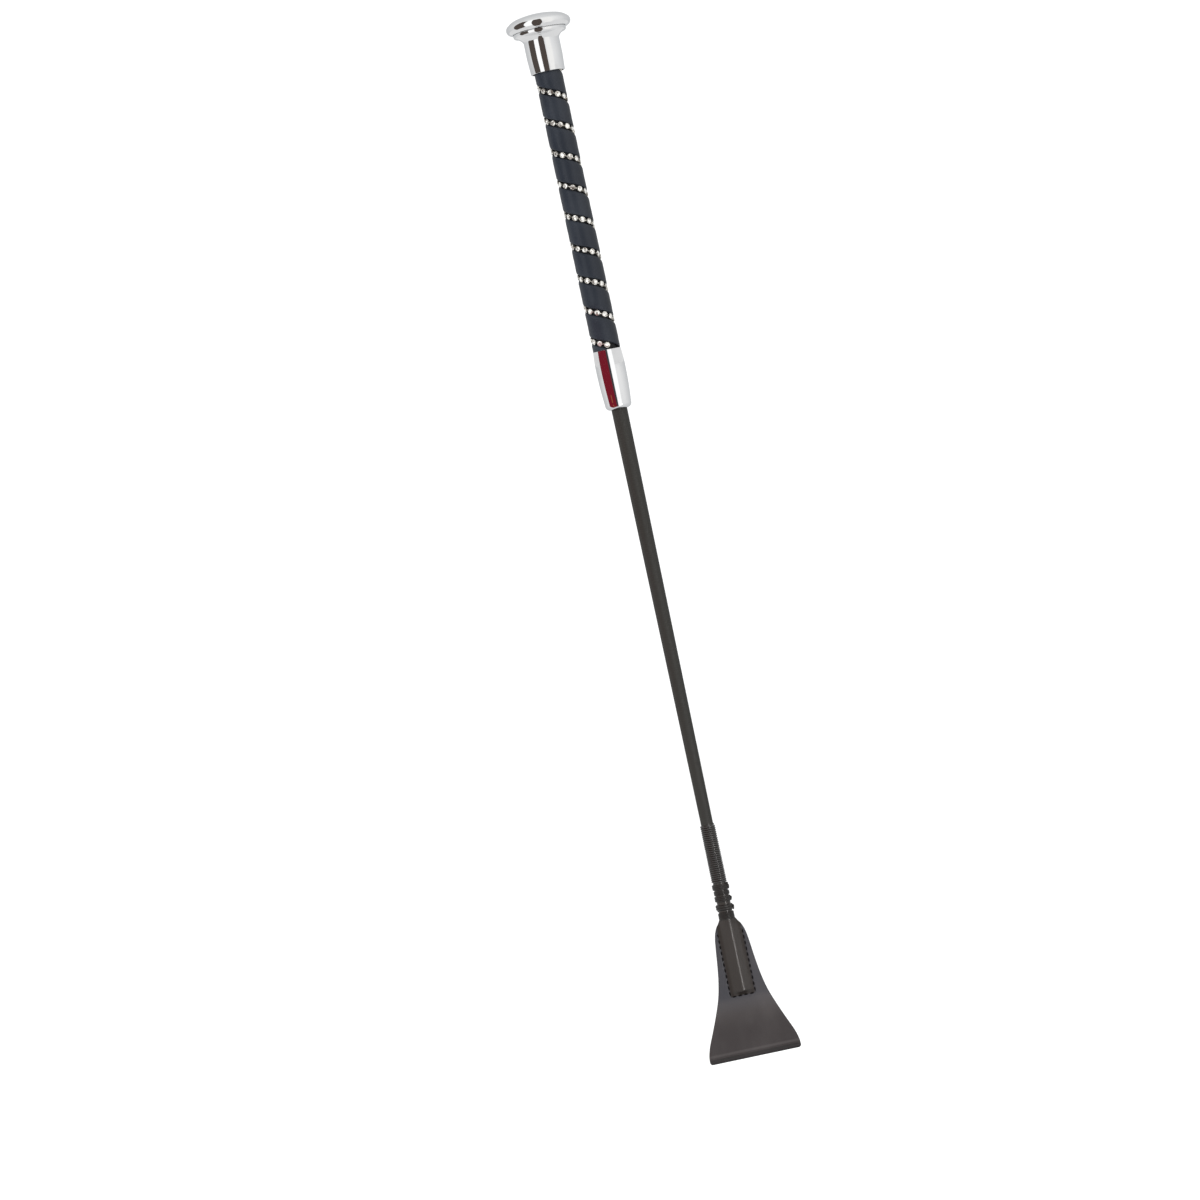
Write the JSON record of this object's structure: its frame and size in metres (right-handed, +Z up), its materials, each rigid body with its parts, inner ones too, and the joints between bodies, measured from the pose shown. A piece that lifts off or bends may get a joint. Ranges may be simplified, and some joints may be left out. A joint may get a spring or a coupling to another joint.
{
  "type": "riding crop",
  "caption": "Riding crop: polished mushroom knob and collar, leather grip wound with a stone chain, ferrule, tapered flexing shaft and broad folded leather popper, stored hanging",
  "frame": {"origin": "on the crop's axis, halfway down the leather hand grip", "axes": "+Z up the crop to its knob, which hangs uppermost; X across the popper's face; the front of the crop looks along -Y"},
  "size_m": [0.0568, 0.04, 0.6494],
  "materials": {
    "knob_metal": "mirror polish",
    "ferrule_metal": "mirror polish",
    "chain_metal": "bright plate",
    "chain_stone": "cut and foil-backed",
    "grip_leather": "smooth satin",
    "popper_leather": "fine grain, waxed",
    "shaft_cover": "fine woven, sized smooth",
    "whipping_thread": "waxed thread",
    "binding_cord": "waxed cord",
    "stitch_thread": "waxed thread",
    "plug_wood": "turned",
    "core_plastic": "extruded",
    "padding_foam": "closed-cell foam",
    "rod_fibreglass": "pultruded glass fibre"
  },
  "bodies": {
    "handle": {"knob_dome": "knob_metal", "knob_collar": "knob_metal", "cap_plug": "plug_wood", "handle_core": "core_plastic", "grip_padding": "padding_foam", "grip_leather": "grip_leather", "chain_cups": "chain_metal", "chain_stones": "chain_stone", "chain_links": "chain_metal", "grip_ferrule": "ferrule_metal", "ferrule_bush": "core_plastic", "rod_upper": "rod_fibreglass", "shaft_cover_upper": "shaft_cover"},
    "shaft": {"rod_lower": "rod_fibreglass", "shaft_cover_lower": "shaft_cover", "rod_tip_cap": "core_plastic", "whipping_thread": "whipping_thread", "binding_ring_upper": "binding_cord", "binding_turns": "whipping_thread", "binding_ring_middle": "binding_cord", "binding_ring_lower": "binding_cord", "neck_whipping": "whipping_thread", "popper_front": "popper_leather", "popper_back": "popper_leather", "popper_stitches": "stitch_thread"},
    "popper": {"popper_blade": "popper_leather"}
  },
  "joints": [
    {"name": "shaft_flex", "type": "hinge", "parent": "handle", "child": "shaft", "pos_m": [0, 0, -0.1771], "axis": [1, 0, 0], "range_deg": [-10, 10], "stiffness_Nm_per_rad": 22},
    {"name": "popper_flex", "type": "hinge", "parent": "shaft", "child": "popper", "pos_m": [0, 0, -0.4905], "axis": [1, 0, 0], "range_deg": [-60, 60], "stiffness_Nm_per_rad": 0.12}
  ]
}
